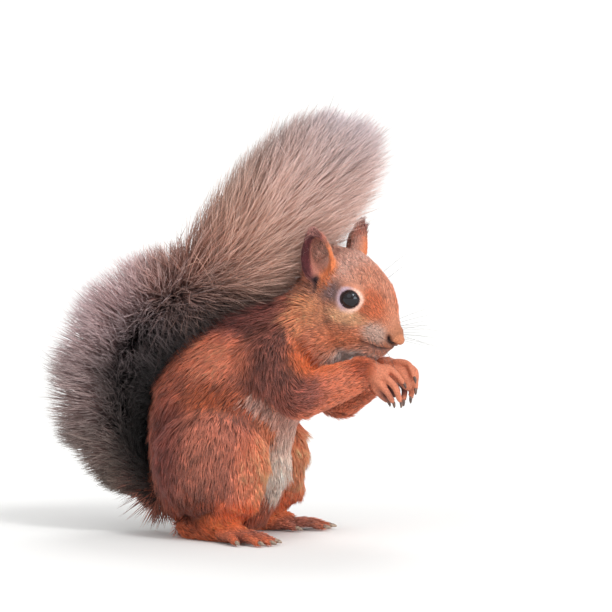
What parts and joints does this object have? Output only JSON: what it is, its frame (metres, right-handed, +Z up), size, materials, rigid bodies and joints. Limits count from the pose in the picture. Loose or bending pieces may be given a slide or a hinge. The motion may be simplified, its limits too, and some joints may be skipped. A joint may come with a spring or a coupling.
{
  "type": "red squirrel",
  "caption": "Life-size still model of a red squirrel sitting up with its forepaws at its mouth and its bushy tail laid up along its back and over its head.",
  "frame": {"origin": "on the floor, under the middle of the bounding box", "axes": "+X is where the body faces, +Y is the animal's left, +Z is up"},
  "size_m": [0.1756, 0.0904, 0.1931],
  "materials": {
    "coat_body": "matt, short red-brown hair, white on the belly",
    "coat_face": "matt, short red hair with a pale ring round each eye",
    "coat_feet": "matt, very short orange hair",
    "coat_tail": "matt, long dark brown hair with paler tips",
    "eye": "wet gloss",
    "claw_front": "satin horn",
    "claw_hind": "satin horn",
    "nose": "fine matt skin"
  },
  "bodies": {
    "root": {"claw_foot_left_1": "claw_hind", "claw_foot_left_2": "claw_hind", "claw_foot_left_3": "claw_hind", "claw_foot_left_4": "claw_hind", "claw_foot_left_5": "claw_hind", "claw_foot_right_1": "claw_hind", "claw_foot_right_2": "claw_hind", "claw_foot_right_3": "claw_hind", "claw_foot_right_4": "claw_hind", "claw_foot_right_5": "claw_hind", "claw_hand_left_1": "claw_front", "claw_hand_left_2": "claw_front", "claw_hand_left_3": "claw_front", "claw_hand_left_4": "claw_front", "claw_hand_right_1": "claw_front", "claw_hand_right_2": "claw_front", "claw_hand_right_3": "claw_front", "claw_hand_right_4": "claw_front", "ear_left": "coat_face", "ear_right": "coat_face", "eye_left": "eye", "eye_right": "eye", "foot_left": "coat_feet", "foot_right": "coat_feet", "forearm_left": "coat_body", "forearm_right": "coat_body", "hand_left": "coat_feet", "hand_right": "coat_feet", "head": "coat_face", "neck": "coat_body", "nose": "nose", "shank_left": "coat_body", "shank_right": "coat_body", "tail_lower": "coat_tail", "tail_middle": "coat_tail", "tail_root": "coat_tail", "tail_tip": "coat_tail", "tail_upper": "coat_tail", "thigh_left": "coat_body", "thigh_right": "coat_body", "trunk": "coat_body", "upper_arm_left": "coat_body", "upper_arm_right": "coat_body"}
  },
  "joints": []
}
